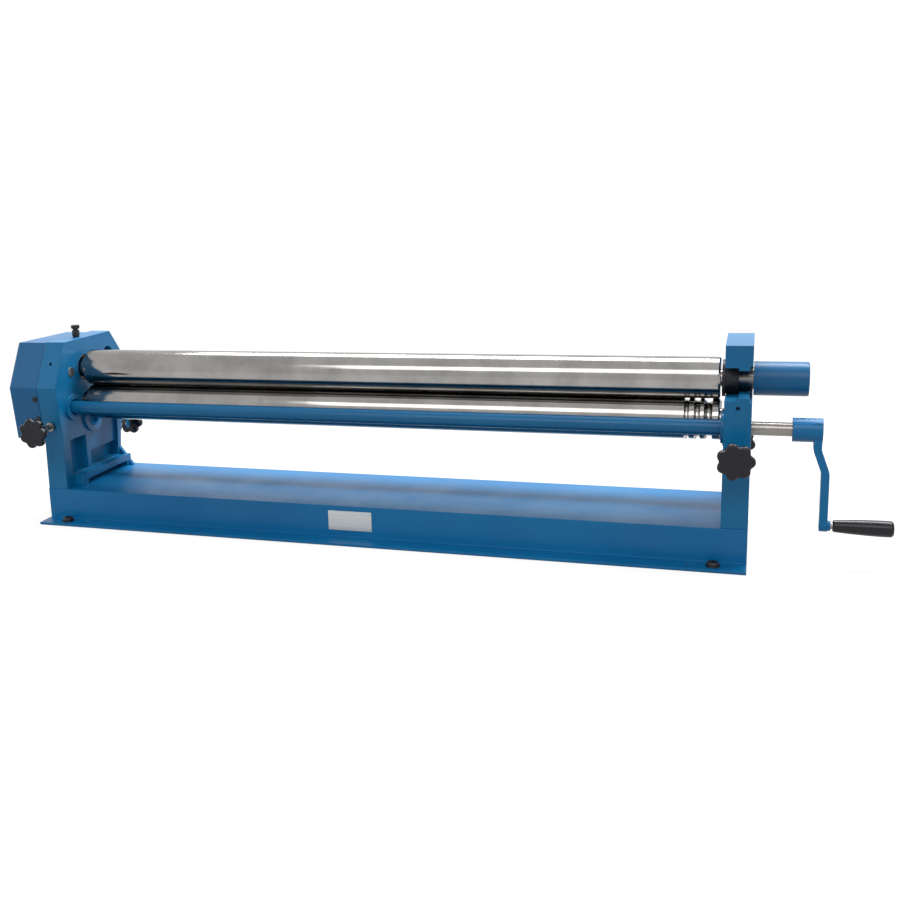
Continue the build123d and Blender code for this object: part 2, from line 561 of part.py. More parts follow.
CARRIER_X0, CARRIER_X1 = ROLL_X1 + 2.0, 766.0
SLEEVE_X0, SLEEVE_X1 = OUT_X + 1.1, 800.0
SLEEVE_R = 30.2
COLLAR_R = 26.0
with BuildPart() as upper_roll:
    rod(ROLL_X0, ROLL_X1, ROLL_Y, UP_Z, ROLL_R)
    chamfer(upper_roll.edges().filter_by(GeomType.CIRCLE), 3)
    rod(PIVOT_X - BALL_HALF + 1, ROLL_X0, ROLL_Y, UP_Z, UP_NECK_R)
    rod(ROLL_X1, CARRIER_X1 + 14, ROLL_Y, UP_Z, UP_END_R)
    # socket for the ball-ended drive stub, with two slots for its cross pin
    rod(PIVOT_X - BALL_HALF, PIVOT_X + 13, ROLL_Y, UP_Z, SOCKET_R, Mode.SUBTRACT)
    block(PIVOT_X - BALL_HALF, PIVOT_X + 8, ROLL_Y - PIN_R - 0.3, ROLL_Y + PIN_R + 0.3,
          UP_Z - PIN_HALF - 1, UP_Z + PIN_HALF + 1, Mode.SUBTRACT)
save(upper_roll.part, "upper_roll")

with BuildPart() as carrier:
    rod(CARRIER_X0, CARRIER_X1, ROLL_Y, UP_Z, CARRIER_R)
    rod(CARRIER_X0 - 1, CARRIER_X1 + 1, ROLL_Y, UP_Z, UP_END_R + RUN, Mode.SUBTRACT)
save(carrier.part, "end_carrier")

with BuildPart() as seat_bush:
    rod(CARRIER_X0 + 0.5, IN_X + FRAME_T / 2 - 0.7, ROLL_Y, UP_Z, SEAT_R)
    rod(CARRIER_X0 + 0.5, IN_X - 0.9, ROLL_Y, UP_Z, SEAT_R + 5)
    rod(CARRIER_X0 - 1, IN_X + FRAME_T / 2 + 1, ROLL_Y, UP_Z, CARRIER_R, Mode.SUBTRACT)
save(seat_bush.part, "seat_bush")

with BuildPart() as collar:
    rod(SLEEVE_X0, SLEEVE_X0 + 11, ROLL_Y, UP_Z, COLLAR_R)
    rod(SLEEVE_X0 - 1, SLEEVE_X0 + 12, ROLL_Y, UP_Z, CARRIER_R + RUN, Mode.SUBTRACT)
save(collar.part, "clamp_collar")

with BuildPart() as sleeve:
    rod(SLEEVE_X0, SLEEVE_X1, ROLL_Y, UP_Z, SLEEVE_R)
    fillet(sleeve.edges().filter_by(GeomType.CIRCLE).group_by(Axis.X)[-1], 3)
    rod(SLEEVE_X0 - 1, SLEEVE_X0 + 11.5, ROLL_Y, UP_Z, COLLAR_R + RUN, Mode.SUBTRACT)
    rod(SLEEVE_X0, CARRIER_X1 + 1, ROLL_Y, UP_Z, CARRIER_R + RUN, Mode.SUBTRACT)
    rod(CARRIER_X1 - 0.5, SLEEVE_X1 - 7, ROLL_Y, UP_Z, 25, Mode.SUBTRACT)
save(sleeve.part, "release_sleeve")

with BuildPart() as end_nut:
    with BuildSketch(yz(CARRIER_X1 + 2)):
        with Locations((ROLL_Y, UP_Z)):
            RegularPolygon(22, 6)
            Circle(UP_END_R, mode=Mode.SUBTRACT)
    extrude(amount=10)
save(end_nut.part, "upper_roll_nut")

# ======================================================================================
# Lower roll and its gear
# ======================================================================================
GROOVES = [(596.8, 4.0), (615.0, 5.0), (634.0, 7.0)]
L_GEAR_R = 16.0
with BuildPart() as lower_roll:
    rod(ROLL_X0, ROLL_X1, ROLL_Y, LOW_Z, ROLL_R)
    chamfer(lower_roll.edges().filter_by(GeomType.CIRCLE), 2)
    rod(GA_X1 + 0.5, ROLL_X0, ROLL_Y, LOW_Z, LOW_NECK_R)
    rod(GA_X1 - GEAR_W - 8, GA_X1 + 0.5, ROLL_Y, LOW_Z, L_GEAR_R)
    rod(ROLL_X1, KX - 0.7, ROLL_Y, LOW_Z, LOW_NECK_R)
    for x, r in GROOVES:
        with Locations(Plane(origin=(x, ROLL_Y, LOW_Z), x_dir=(0, 1, 0), z_dir=(1, 0, 0))):
            Torus(ROLL_R, r, mode=Mode.SUBTRACT)
save(lower_roll.part, "lower_roll")

with BuildPart() as lower_gear:
    with BuildSketch(yz(GA_X1 - GEAR_W)):
        with Locations((ROLL_Y, LOW_Z)):
            Polygon(*gear_points(T_ROLL, PH_LOW), align=None)
            Circle(L_GEAR_R, mode=Mode.SUBTRACT)
    extrude(amount=GEAR_W)
save(lower_gear.part, "lower_gear")

with BuildPart() as lower_nut:
    with BuildSketch(yz(GA_X1 - GEAR_W - 7)):
        with Locations((ROLL_Y, LOW_Z)):
            RegularPolygon(23, 6)
            Circle(L_GEAR_R, mode=Mode.SUBTRACT)
    extrude(amount=7)
save(lower_nut.part, "lower_gear_nut")

# ======================================================================================
# Rear roll
# ======================================================================================
with BuildPart() as rear_roll:
    rod(ROLL_X0, ROLL_X1, REAR_Y, REAR_Z, ROLL_R)
    chamfer(rear_roll.edges().filter_by(GeomType.CIRCLE), 2)
    rod(-KX + 0.7, ROLL_X0, REAR_Y, REAR_Z, REAR_NECK_R)
    rod(ROLL_X1, KX - 0.7, REAR_Y, REAR_Z, REAR_NECK_R)
    for x, r in GROOVES:
        with Locations(Plane(origin=(x, REAR_Y, REAR_Z), x_dir=(0, 1, 0), z_dir=(1, 0, 0))):
            Torus(ROLL_R, r, mode=Mode.SUBTRACT)
save(rear_roll.part, "rear_roll")

# ======================================================================================
# Bearing blocks, wedges, screws and knobs, left (-1) and right (+1)
# ======================================================================================
for sx, name in ((-1, "left"), (1, "right")):
    # pockets open on the outer side
    xo, xi = KX - 0.2, OUT_X - POCKET + 0.2
    x0, x1 = (-xo, -xi) if sx < 0 else (xi, xo)

    with BuildPart() as f_block:
        with BuildSketch(yz(x0)):
            Polygon((FBY0, front_under(FBY0)), (FBY1, front_under(FBY1)),
                    (FBY1, LOW_Z + FB_HALF_Z), (FBY0, LOW_Z + FB_HALF_Z), align=None)
            with Locations((ROLL_Y, LOW_Z)):
                Circle(LOW_NECK_R + RUN, mode=Mode.SUBTRACT)
        extrude(amount=x1 - x0)
    save(f_block.part, "front_block_" + name)

    with BuildPart() as f_wedge:
        with BuildSketch(yz(x0)):
            Polygon((FW_Y0, FW_Z0), (FW_Y1, FW_Z0), (FW_Y1, front_under(FW_Y1) - SLIDE),
                    (FW_Y0, front_under(FW_Y0) - SLIDE), align=None)
        extrude(amount=x1 - x0)
        rod_y(FW_Y0 - 1, F_SCREW_TIP + FW_TRAVEL + 1, sx * MID_X, F_SCREW_Z, F_SCREW_R + RUN,
              Mode.SUBTRACT)
    save(f_wedge.part, "front_wedge_" + name)

    with BuildPart() as f_screw:
        rod_y(F_KNOB_Y - 5, F_SCREW_TIP, sx * MID_X, F_SCREW_Z, F_SCREW_R)
        inner = FW_Y0 - FW_TRAVEL - 6.7
        outer = FRONT_Y - (2.6 if sx < 0 else 0.3)
        rod_y(inner, inner + COLLAR_T, sx * MID_X, F_SCREW_Z, THRUST_R)
        rod_y(outer - COLLAR_T, outer, sx * MID_X, F_SCREW_Z, THRUST_R)
    save(f_screw.part, "front_screw_" + name)

    with BuildPart() as f_knob:
        with BuildSketch(xz(F_KNOB_Y + 8)):
            with Locations((sx * MID_X, F_SCREW_Z)):
                Circle(KNOB_R - 5)
                with PolarLocations(KNOB_R - 10, 7, start_angle=1):
                    Circle(10)
        extrude(amount=16)
        fillet(f_knob.edges().group_by(Axis.Y)[0], 2.5)
        rod_y(F_KNOB_Y + 8, F_KNOB_Y + 22, sx * MID_X, F_SCREW_Z, 12)
        rod_y(F_KNOB_Y - 5, F_KNOB_Y + 30, sx * MID_X, F_SCREW_Z, F_SCREW_R, Mode.SUBTRACT)
    save(f_knob.part, "front_knob_" + name)

    with BuildPart() as r_block:
        with BuildSketch(yz(x0)):
            Polygon((RBY0, RW_K - RBY0), (RBY1, RW_K - RBY1), (RBY1, RB_TOP), (RBY0, RB_TOP),
                    align=None)
            with Locations((REAR_Y, REAR_Z)):
                Circle(REAR_NECK_R + RUN, mode=Mode.SUBTRACT)
        extrude(amount=x1 - x0)
    save(r_block.part, "rear_block_" + name)

    with BuildPart() as r_wedge:
        with BuildSketch(yz(sx * MID_X - RW_T / 2)):
            Polygon((RW_Y0, RW_Z0), (RW_Y1, RW_Z0), (RW_Y1, RW_K - SLIDE - RW_Y1),
                    (RW_Y0, RW_K - SLIDE - RW_Y0), align=None)
        extrude(amount=RW_T)
        rod_y(RW_Y0 - 1, RW_Y1 + 1, sx * MID_X, R_SCREW_Z, SCREW_R + RUN, Mode.SUBTRACT)
    save(r_wedge.part, "rear_wedge_" + name)

    with BuildPart() as r_screw:
        rod_y(RW_Y0 + 1, R_KNOB_Y + 5, sx * MID_X, R_SCREW_Z, SCREW_R)
        rod_y(BRACKET_Y - 0.3 - COLLAR_T, BRACKET_Y - 0.3, sx * MID_X, R_SCREW_Z, THRUST_R)
    save(r_screw.part, "rear_screw_" + name)

    with BuildPart() as r_knob:
        with BuildSketch(xz(R_KNOB_Y + 8)):
            with Locations((sx * MID_X, R_SCREW_Z)):
                Circle(KNOB_R - 5)
                with PolarLocations(KNOB_R - 10, 7, start_angle=14):
                    Circle(10)
        extrude(amount=16)
        fillet(r_knob.edges().group_by(Axis.Y)[-1], 2.5)
        rod_y(R_KNOB_Y - 21.7, R_KNOB_Y - 8, sx * MID_X, R_SCREW_Z, 12)
        rod_y(R_KNOB_Y - 30, R_KNOB_Y + 5, sx * MID_X, R_SCREW_Z, SCREW_R, Mode.SUBTRACT)
    save(r_knob.part, "rear_knob_" + name)

# ======================================================================================
# Drive line: shaft, tube, pinion, crank
# ======================================================================================
HUB_X0, HUB_X1, HUB_R = 774.0, 822.5, 20.7
ARM_T = 13.4
GRIP_Z = 68.0
GRIP_X0, GRIP_X1 = 845.0, 941.5
P_SEAT_R = 10.0

with BuildPart() as drive_shaft:
    rod(GB_X1, HUB_X1 - 2, DRIVE_Y, DRIVE_Z, SHAFT_R)
    rod(GEAR_X0 - 7, GB_X1, DRIVE_Y, DRIVE_Z, P_SEAT_R)
    block(GEAR_X0, GB_X1, DRIVE_Y - 3, DRIVE_Y + 3, DRIVE_Z + P_SEAT_R - 3, DRIVE_Z + 20,
          Mode.SUBTRACT)
save(drive_shaft.part, "drive_shaft")

with BuildPart() as drive_tube:
    rod(-IN_X + 3, IN_X - 3, DRIVE_Y, DRIVE_Z, TUBE_R)
    rod(-IN_X, IN_X, DRIVE_Y, DRIVE_Z, SHAFT_R, Mode.SUBTRACT)
save(drive_tube.part, "drive_tube")

with BuildPart() as pinion:
    with BuildSketch(yz(GEAR_X0)):
        with Locations((DRIVE_Y, DRIVE_Z)):
            Polygon(*gear_points(T_PINION, PH_PINION), align=None)
            Circle(P_SEAT_R, mode=Mode.SUBTRACT)
            with Locations((0, P_SEAT_R)):
                Rectangle(6, 6, mode=Mode.SUBTRACT)
    extrude(amount=GEAR_W)
save(pinion.part, "drive_pinion")

with BuildPart() as pinion_key:
    block(GEAR_X0, GB_X1, DRIVE_Y - 3, DRIVE_Y + 3, DRIVE_Z + P_SEAT_R - 3, DRIVE_Z + P_SEAT_R + 3)
save(pinion_key.part, "pinion_key")

with BuildPart() as pinion_nut:
    with BuildSketch(yz(GEAR_X0 - 6)):
        with Locations((DRIVE_Y, DRIVE_Z)):
            RegularPolygon(17, 6)
            Circle(P_SEAT_R, mode=Mode.SUBTRACT)
    extrude(amount=6)
save(pinion_nut.part, "pinion_nut")

with BuildPart() as idler_stud:
    rod(-OUT_X, -OUT_X + 30, IDLER_Y, IDLER_Z, 9)
    rod(GB_X1 + 0.3, -OUT_X, IDLER_Y, IDLER_Z, 13)
    rod(GEAR_X0 - 0.5, GB_X1 + 0.3, IDLER_Y, IDLER_Z, 9)
    rod(GEAR_X0 - 5, GEAR_X0 - 0.5, IDLER_Y, IDLER_Z, 12)
save(idler_stud.part, "idler_stud")

with BuildPart() as idler_gear:
    with BuildSketch(yz(GEAR_X0)):
        with Locations((IDLER_Y, IDLER_Z)):
            Polygon(*gear_points(T_IDLER, PH_IDLER), align=None)
            Circle(9 + RUN, mode=Mode.SUBTRACT)
    extrude(amount=GEAR_W)
save(idler_gear.part, "idler_gear")

AX0 = 808.5
with BuildPart() as crank_arm:
    with BuildSketch(Plane(origin=(0, DRIVE_Y + 21, 0), x_dir=(1, 0, 0), z_dir=(0, -1, 0))):
        Polygon((AX0, DRIVE_Z + 16), (AX0, 203), (822.5, 163.5), (823, GRIP_Z - 12),
                (823 + ARM_T, GRIP_Z - 12), (822.5 + ARM_T, 163.5), (AX0 + ARM_T, 203),
                (AX0 + ARM_T, DRIVE_Z + 16), align=None)
    extrude(amount=42)
    fillet([e for e in crank_arm.edges().filter_by(Axis.Y) if 160 < e.center().Z < 206], 22)
    with BuildSketch(yz(AX0 - 5)):
        Polygon((DRIVE_Y - 16, DRIVE_Z + 16), (DRIVE_Y - 10.5, GRIP_Z), (DRIVE_Y + 10.5, GRIP_Z),
                (DRIVE_Y + 16, DRIVE_Z + 16), align=None)
        with Locations((DRIVE_Y, GRIP_Z)):
            Circle(10.5)
    extrude(amount=60, mode=Mode.INTERSECT)
    rod(HUB_X0, HUB_X1, DRIVE_Y, DRIVE_Z, HUB_R)
    rod(830, 841.5, DRIVE_Y, GRIP_Z, 9.0)
    rod(HUB_X0 - 1, HUB_X1 - 2, DRIVE_Y, DRIVE_Z, SHAFT_R, Mode.SUBTRACT)
    rod(820, 842, DRIVE_Y, GRIP_Z, 6, Mode.SUBTRACT)
    rod_z(DRIVE_Z, DRIVE_Z + 30, 790, DRIVE_Y, 3, Mode.SUBTRACT)
save(crank_arm.part, "crank_arm")

with BuildPart() as hub_screw:
    rod_z(DRIVE_Z + SHAFT_R, DRIVE_Z + HUB_R - 1, 790, DRIVE_Y, 3)
save(hub_screw.part, "hub_set_screw")

with BuildPart() as spindle:
    rod(824.5, GRIP_X1 - 12, DRIVE_Y, GRIP_Z, 6)
save(spindle.part, "grip_spindle")

with BuildPart() as grip:
    with BuildSketch(xz(DRIVE_Y)):
        Polygon((GRIP_X0, GRIP_Z), (GRIP_X0, GRIP_Z + 9.2), (GRIP_X0 + 1.5, GRIP_Z + 10.4),
                (GRIP_X1 - 30, GRIP_Z + 13.6), (GRIP_X1 - 8, GRIP_Z + 14.3), (GRIP_X1 - 4, GRIP_Z + 13.8),
                (GRIP_X1 - 1.2, GRIP_Z + 12), (GRIP_X1, GRIP_Z + 9), (GRIP_X1, GRIP_Z), align=None)
    revolve(axis=Axis((0, DRIVE_Y, GRIP_Z), (1, 0, 0)))
    rod(GRIP_X0 - 1, GRIP_X1 - 11.5, DRIVE_Y, GRIP_Z, 6 + RUN, Mode.SUBTRACT)
save(grip.part, "crank_grip")
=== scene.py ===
import bpy
import bmesh
import json
from math import sin, cos, pi, radians, sqrt, log, exp
from mathutils import Vector, Matrix

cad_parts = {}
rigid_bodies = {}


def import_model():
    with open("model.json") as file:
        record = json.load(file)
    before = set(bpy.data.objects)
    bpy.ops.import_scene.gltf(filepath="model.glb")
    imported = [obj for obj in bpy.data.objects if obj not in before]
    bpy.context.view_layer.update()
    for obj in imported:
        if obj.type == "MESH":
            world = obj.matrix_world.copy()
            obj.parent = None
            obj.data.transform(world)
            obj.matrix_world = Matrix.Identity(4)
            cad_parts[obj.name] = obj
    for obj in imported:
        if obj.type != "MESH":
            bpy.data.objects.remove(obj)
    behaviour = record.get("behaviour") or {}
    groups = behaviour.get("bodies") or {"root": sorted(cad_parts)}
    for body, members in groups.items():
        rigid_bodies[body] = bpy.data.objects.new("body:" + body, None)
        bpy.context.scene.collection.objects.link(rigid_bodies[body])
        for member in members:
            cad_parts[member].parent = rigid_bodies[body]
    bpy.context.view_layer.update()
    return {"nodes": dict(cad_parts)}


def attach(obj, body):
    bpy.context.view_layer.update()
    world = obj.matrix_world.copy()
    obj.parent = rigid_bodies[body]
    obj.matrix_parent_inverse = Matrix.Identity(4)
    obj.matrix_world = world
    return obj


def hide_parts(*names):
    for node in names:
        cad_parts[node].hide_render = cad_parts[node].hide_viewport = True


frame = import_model()
bpy.context.scene.view_settings.view_transform = "Standard"
NODES = frame["nodes"]

# sizes in metres, the same numbers as the solids
ROLL_Y, UP_Z, LOW_Z = -0.008, 0.3137, 0.2383  # axes of the upper and lower rolls
REAR_Y, REAR_Z = 0.090, 0.2152                # axis of the rear roll
DRIVE_Y = -0.069                              # axis of the drive shaft; the grip hangs at the same Y
ROLL_R = 0.0375
ROLL_X0, ROLL_X1 = -0.6465, 0.6535                      # end faces of the rolls
FRAME_MID = 0.685                                   # middle of an end frame


# ------------------------------------------------------------------ materials
def srgb(r, g, b):
    def lin(c):
        c /= 255.0
        return c / 12.92 if c <= 0.04045 else ((c + 0.055) / 1.055) ** 2.4
    return (lin(r), lin(g), lin(b), 1.0)


class Mat:
    """A Principled material with its node tree at hand."""

    def __init__(self, name, rough=0.4, metal=0.0, **fixed):
        self.m = bpy.data.materials.new(name)
        self.m.use_nodes = True
        self.t = self.m.node_tree
        self.p = self.t.nodes["Principled BSDF"]
        self.p.inputs["Roughness"].default_value = rough
        self.p.inputs["Metallic"].default_value = metal
        for k, v in fixed.items():
            self.p.inputs[k.replace("_", " ")].default_value = v
        self.co = self.node("ShaderNodeTexCoord").outputs["Object"]

    def node(self, kind, **props):
        n = self.t.nodes.new(kind)
        for k, v in props.items():
            setattr(n, k, v)
        return n

    def link(self, a, b):
        self.t.links.new(a, b)

    def scaled(self, sx, sy, sz):
        n = self.node("ShaderNodeMapping")
        n.inputs["Scale"].default_value = (sx, sy, sz)
        self.link(self.co, n.inputs["Vector"])
        return n.outputs["Vector"]

    def noise(self, scale, detail=4.0, rough=0.55, vec=None):
        n = self.node("ShaderNodeTexNoise")
        n.inputs["Scale"].default_value = scale
        n.inputs["Detail"].default_value = detail
        n.inputs["Roughness"].default_value = rough
        self.link(vec or self.co, n.inputs["Vector"])
        return n.outputs["Fac"]

    def ramp(self, fac, *stops):
        n = self.node("ShaderNodeValToRGB")
        e = n.color_ramp.elements
        while len(e) > 1:
            e.remove(e[-1])
        e[0].position, e[0].color = stops[0]
        for pos, col in stops[1:]:
            k = e.new(pos)
            k.color = col
        self.link(fac, n.inputs["Fac"])
        return n.outputs["Color"]

    def range(self, fac, a, b, c, d):
        n = self.node("ShaderNodeMapRange")
        for k, v in zip(("From Min", "From Max", "To Min", "To Max"), (a, b, c, d)):
            n.inputs[k].default_value = v
        self.link(fac, n.inputs["Value"])
        return n.outputs["Result"]

    def mix(self, fac, a, b):
        n = self.node("ShaderNodeMix", data_type="RGBA")
        for sock, v in ((n.inputs[0], fac), (n.inputs[6], a), (n.inputs[7], b)):
            if hasattr(v, "links"):
                self.link(v, sock)
            else:
                sock.default_value = v
        return n.outputs[2]

    def math(self, op, a, b=0.0):
        n = self.node("ShaderNodeMath", operation=op)
        for sock, v in ((n.inputs[0], a), (n.inputs[1], b)):
            if hasattr(v, "links"):
                self.link(v, sock)
            else:
                sock.default_value = v
        return n.outputs[0]

    def bevel(self, radius):
        n = self.node("ShaderNodeBevel", samples=6)
        n.inputs["Radius"].default_value = radius
        return n.outputs["Normal"]

    def bump(self, height, dist, strength=1.0, normal=None):
        n = self.node("ShaderNodeBump")
        n.inputs["Distance"].default_value = dist
        n.inputs["Strength"].default_value = strength
        self.link(height, n.inputs["Height"])
        if normal is not None:
            self.link(normal, n.inputs["Normal"])
        self.link(n.outputs["Normal"], self.p.inputs["Normal"])
        return n.outputs["Normal"]

    def base(self, col):
        self.link(col, self.p.inputs["Base Color"])

    def rough(self, val):
        self.link(val, self.p.inputs["Roughness"])


def paint(name, base, peel, bevel, cast=False):
    """Enamel: slight drift of colour, orange peel, paler dusty specks, a rougher skin on castings."""
    m = Mat(name, rough=0.38, Coat_Weight=0.08, Coat_Roughness=0.22, Specular_IOR_Level=0.26)
    r, g, b, _ = base
    drift = m.noise(3.5, 3.0)
    col = m.ramp(drift, (0.3, (r * 0.84, g * 0.88, b * 0.9, 1)),
                 (0.7, (r * 1.15, g * 1.12, b * 1.06, 1)))
    dust = m.range(m.noise(42.0, 6.0, 0.7), 0.62, 0.86, 0.0, 0.12)
    col = m.mix(dust, col, (r + 0.008, g * 1.3 + 0.01, b * 1.12 + 0.01, 1))
    m.base(col)
    m.rough(m.range(m.noise(11.0, 5.0), 0.3, 0.7, 0.3, 0.46))
    h = m.noise(420.0, 2.0)
    if cast:
        h = m.math("ADD", m.math("MULTIPLY", h, 0.25), m.noise(55.0, 6.0, 0.6))
    m.bump(h, peel, 1.0, m.bevel(bevel))
    return m.m


mat_cast = paint("blue_enamel_cast", srgb(2, 100, 150), 0.0003, 0.002, cast=True)
mat_sheet = paint("blue_enamel_sheet", srgb(2, 104, 160), 0.00005, 0.0025)
mat_cover = paint("blue_enamel_cover", srgb(12, 88, 138), 0.00007, 0.003)
mat_tube = paint("blue_enamel_tube", srgb(2, 92, 140), 0.00005, 0.001)


STAIN = 0.75


def steel(name, base, rough, spots=0.0):
    """Machined steel: fine turning or grinding marks across the X axis, faint stains."""
    m = Mat(name, rough=rough, metal=1.0)
    marks = m.noise(1.0, 3.0, 0.6, m.scaled(900, 12, 12))
    r, g, b, _ = base
    col = m.ramp(m.noise(16.0, 5.0, 0.6), (0.32, (r * STAIN, g * STAIN, b * STAIN, 1)), (0.62, base))
    if spots:
        sp = m.range(m.noise(160.0, 4.0, 0.7), 0.66, 0.8, 0.0, spots)
        col = m.mix(sp, col, (r * 0.45, g * 0.36, b * 0.28, 1))
    m.base(col)
    m.rough(m.range(marks, 0.3, 0.7, rough * 0.75, rough * 1.35))
    m.bump(marks, 0.00002, 0.5, m.bevel(0.0006))
    return m.m


mat_roll = steel("ground_roll_steel", (0.33, 0.32, 0.31, 1), 0.12, spots=0.25)
mat_shaft = steel("turned_shaft_steel", (0.24, 0.225, 0.21, 1), 0.24, spots=0.15)
mat_gear = steel("oiled_gear_steel", (0.27, 0.265, 0.25, 1), 0.33, spots=0.4)
mat_bright = steel("bright_fastener_steel", (0.55, 0.55, 0.54, 1), 0.28)


def bronze():
    m = Mat("bearing_bronze", rough=0.35, metal=1.0)
    m.base(m.ramp(m.noise(30.0, 5.0, 0.6), (0.3, (0.36, 0.22, 0.09, 1)), (0.7, (0.55, 0.38, 0.18, 1))))
    m.rough(m.range(m.noise(60.0), 0.3, 0.7, 0.28, 0.45))
    m.bump(m.noise(1.0, 3.0, 0.6, m.scaled(700, 12, 12)), 0.00003, 0.5, m.bevel(0.0006))
    return m.m


def black_steel():
    m = Mat("black_oxide_steel", rough=0.4, metal=0.6)
    m.base(m.ramp(m.noise(40.0, 5.0), (0.3, (0.012, 0.012, 0.014, 1)), (0.7, (0.035, 0.035, 0.04, 1))))
    m.rough(m.range(m.noise(90.0, 4.0), 0.3, 0.7, 0.3, 0.5))
    m.bump(m.noise(300.0, 3.0), 0.00004, 0.6, m.bevel(0.0006))
    return m.m


def black_plastic():
    m = Mat("black_moulded_plastic", rough=0.3, Specular_IOR_Level=0.3)
    m.base(m.ramp(m.noise(25.0, 4.0), (0.35, (0.003, 0.0035, 0.007, 1)), (0.7, (0.006, 0.006, 0.011, 1))))
    m.rough(m.range(m.noise(70.0, 4.0), 0.3, 0.7, 0.18, 0.34))
    m.bump(m.noise(500.0, 2.0), 0.00003, 0.6, m.bevel(0.0008))
    return m.m


mat_bronze, mat_black, mat_plastic = bronze(), black_steel(), black_plastic()


def plate_mat():
    m = Mat("brushed_plate", rough=0.38, metal=0.85)
    br = m.noise(1.0, 3.0, 0.6, m.scaled(14, 14, 1400))
    m.base(m.ramp(br, (0.3, (0.40, 0.42, 0.43, 1)), (0.7, (0.56, 0.58, 0.59, 1))))
    m.rough(m.range(br, 0.3, 0.7, 0.32, 0.5))
    m.bump(br, 0.00003, 0.5, m.bevel(0.0004))
    return m.m


mat_plate = plate_mat()

# ------------------------------------------------------------------ CAD nodes' finishes
FINISH = {
    mat_cast: ["left_frame", "right_frame"],
    mat_sheet: ["bed_channel", "crank_arm"],
    mat_cover: ["gear_cover"],
    mat_tube: ["drive_tube", "release_sleeve"],
    mat_shaft: ["drive_shaft", "upper_drive_stub", "drive_cross_pin", "idler_stud", "end_carrier",
                "clamp_collar", "grip_spindle", "front_screw_left", "front_screw_right",
                "rear_screw_left", "rear_screw_right"],
    mat_gear: ["upper_gear", "lower_gear", "drive_pinion", "idler_gear", "keeper_left",
               "keeper_right", "bearing_cap", "front_wedge_left", "front_wedge_right",
               "rear_wedge_left", "rear_wedge_right"],
    mat_bright: ["head_plug", "hub_set_screw", "upper_roll_nut", "lower_gear_nut",
                 "upper_gear_nut", "pinion_nut", "upper_gear_key", "pinion_key"],
    mat_black: ["frame_bolts", "seat_bush", "grease_cup_body", "grease_cup_cap"],
    mat_bronze: ["seat_ring", "ball_bush", "front_block_left", "front_block_right",
                 "rear_block_left", "rear_block_right"],
    mat_plate: ["data_plate"],
}
for material, names in FINISH.items():
    for n in names:
        node = NODES[n]
        if not node.data.materials:
            node.data.materials.append(material)
        for place in node.material_slots:
            place.material = material


# ------------------------------------------------------------------ mesh tools
def finish_mesh(bm, name, material, body, replaced=(), smooth=35):
    bmesh.ops.recalc_face_normals(bm, faces=bm.faces)
    me = bpy.data.meshes.new(name)
    bm.to_mesh(me)
    bm.free()
    me.materials.append(material)
    for p in me.polygons:
        p.use_smooth = True
    me.set_sharp_from_angle(angle=radians(smooth))
    o = bpy.data.objects.new(name, me)
    bpy.context.scene.collection.objects.link(o)
    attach(o, body)
    if replaced:
        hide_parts(*replaced)


def skin(bm, rings):
    """Faces between rings of vertices; a ring of one vertex is a pole."""
    for a, b in zip(rings, rings[1:]):
        n = max(len(a), len(b))
        for k in range(n):
            j = (k + 1) % n
            if len(a) == 1:
                bm.faces.new((a[0], b[j], b[k]))
            elif len(b) == 1:
                bm.faces.new((a[k], a[j], b[0]))
            else:
                bm.faces.new((a[k], a[j], b[j], b[k]))


def lathe_x(bm, pts, y, z, seg=128):
    """Closed turned shape about an axis along X; pts = [(x, r), ...], r = 0 closes an end."""
    rings = []
    for x, r in pts:
        if r <= 1e-9:
            rings.append([bm.verts.new((x, y, z))])
        else:
            rings.append([bm.verts.new((x, y + r * sin(2 * pi * k / seg), z + r * cos(2 * pi * k / seg)))
                          for k in range(seg)])
    skin(bm, rings)


def arc_pts(cx, cr, r, a0, a1, n):
    """Points of an arc in (x, radius) space."""
    return [(cx + r * cos(radians(a0 + (a1 - a0) * i / n)), cr + r * sin(radians(a0 + (a1 - a0) * i / n)))
            for i in range(n + 1)]


# ------------------------------------------------------------------ rolls
GROOVES = [(0.5968, 0.004), (0.615, 0.005), (0.634, 0.007)]
JOURNAL_END = 0.7028


def roll_body(grooves, ch):
    """Outline of a roll between its end faces: rounded chamfers, bending grooves."""
    pts = [(ROLL_X0, ROLL_R - ch), (ROLL_X0 + 0.0003, ROLL_R - ch * 0.85),
           (ROLL_X0 + ch * 0.85, ROLL_R - 0.0003), (ROLL_X0 + ch, ROLL_R - 0.00006),
           (ROLL_X0 + ch + 0.0008, ROLL_R)]
    for gx, gr in GROOVES if grooves else ():
        pts += [(gx - gr - 0.0005, ROLL_R), (gx - gr - 0.0002, ROLL_R - 0.00005)]
        pts += arc_pts(gx, ROLL_R, gr, 180, 360, 14)[1:-1]
        pts += [(gx + gr + 0.0002, ROLL_R - 0.00005), (gx + gr + 0.0005, ROLL_R)]
    return pts + [(ROLL_X1 - ch - 0.0008, ROLL_R), (ROLL_X1 - ch, ROLL_R - 0.00006),
                  (ROLL_X1 - ch * 0.85, ROLL_R - 0.0003), (ROLL_X1 - 0.0003, ROLL_R - ch * 0.85),
                  (ROLL_X1, ROLL_R - ch)]


def neck(x, r, e=0.0008):
    """Journal end face with a drilled centre, from the axis outwards."""
    s = -1 if x < 0 else 1
    return [(x - s * 0.005, 0.0), (x - s * 0.0035, 0.0012), (x, 0.0035), (x, r - e), (x - s * e, r)]


def make_roll(name, body, y, z, left, right, grooves, ch):
    bm = bmesh.new()
    lathe_x(bm, left + roll_body(grooves, ch) + right[::-1], y, z)
    finish_mesh(bm, name + "_ground", mat_roll, body, (name,), 28)


